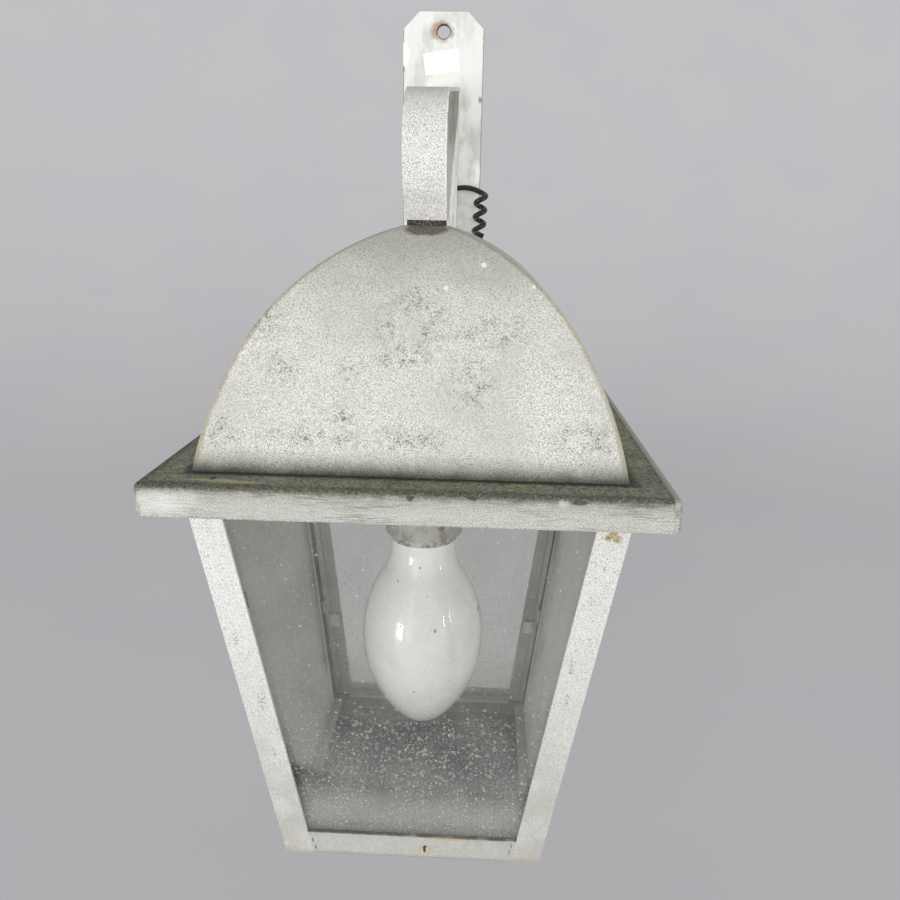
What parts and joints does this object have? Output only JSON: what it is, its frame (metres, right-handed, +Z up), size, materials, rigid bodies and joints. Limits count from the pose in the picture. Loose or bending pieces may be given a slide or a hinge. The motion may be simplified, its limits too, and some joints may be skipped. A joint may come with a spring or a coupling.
{
  "type": "outdoor wall lantern",
  "caption": "Square tapered glazed lantern under a curved dome, hung from a box arm on a drilled wall plate, with a screw-cap lamp and a drop-down bottom tray.",
  "frame": {"origin": "middle of the wall plate's back face, halfway between its two screw holes", "axes": "+X to the right seen from the front, +Y into the wall, +Z up; the lantern hangs in front of the wall on the -Y side"},
  "size_m": [0.225, 0.2425, 0.4557],
  "materials": {
    "plate_paint": "weathered off-white paint",
    "body_paint": "weathered off-white paint",
    "dome_paint": "weathered off-white paint",
    "inner_paint": "weathered off-white paint",
    "zinc": "dull",
    "brass": "dull",
    "porcelain": "glazed, opaque",
    "pane_glass": "dusty",
    "lamp_glass": "white coated inside",
    "gasket": "matte",
    "label": "matte",
    "lead": "satin"
  },
  "bodies": {
    "lantern": {"wall_plate": "plate_paint", "blank_label": "label", "spine_channel": "plate_paint", "arm_outer_strap": "body_paint", "arm_inner_strap": "body_paint", "arm_cheek_left": "body_paint", "arm_cheek_right": "body_paint", "neck_pipe": "zinc", "neck_gasket": "gasket", "neck_washer": "zinc", "neck_nut": "zinc", "dome_front": "dome_paint", "dome_rear": "dome_paint", "dome_left": "dome_paint", "dome_right": "dome_paint", "brim": "body_paint", "post_front_left": "body_paint", "post_front_right": "body_paint", "post_rear_left": "body_paint", "post_rear_right": "body_paint", "rail_front": "body_paint", "rail_rear": "body_paint", "rail_left": "body_paint", "rail_right": "body_paint", "bar_front": "body_paint", "bar_rear": "body_paint", "bar_left": "body_paint", "bar_right": "body_paint", "pane_front": "pane_glass", "pane_rear": "pane_glass", "pane_left": "pane_glass", "pane_right": "pane_glass", "pane_clips": "zinc", "tray_hinge_leaves": "inner_paint", "tray_hinge_pin": "zinc", "tray_nut": "zinc", "holder_strap": "inner_paint", "strap_screws": "zinc", "strap_nuts": "zinc", "holder_pipe": "brass", "holder_nuts": "brass", "holder_cap": "porcelain", "holder_body": "porcelain", "holder_shell": "brass", "holder_insert": "porcelain", "holder_spring": "brass", "holder_terminals": "brass", "lead_cores": "lead", "lead_inner": "lead", "lead_tail": "lead", "lead_curl": "lead"},
    "tray": {"bottom_tray": "inner_paint"},
    "clamp_screw": {"tray_screw": "body_paint"},
    "lamp": {"lamp_glass": "lamp_glass", "lamp_cap": "brass", "lamp_tip": "gasket"}
  },
  "joints": [
    {"name": "tray_swing", "type": "hinge", "parent": "lantern", "child": "tray", "pos_m": [0, -0.0587, -0.3727], "axis": [1, 0, 0], "range_deg": [0, 90]},
    {"name": "clamp_screw_turn", "type": "hinge", "parent": "lantern", "child": "clamp_screw", "pos_m": [0.007, -0.19884, -0.3654], "axis": [0, 0.9908, 0.135], "continuous": true},
    {"name": "lamp_turn", "type": "hinge", "parent": "lantern", "child": "lamp", "pos_m": [0, -0.13, -0.2744], "axis": [0, 0, 1], "continuous": true}
  ]
}
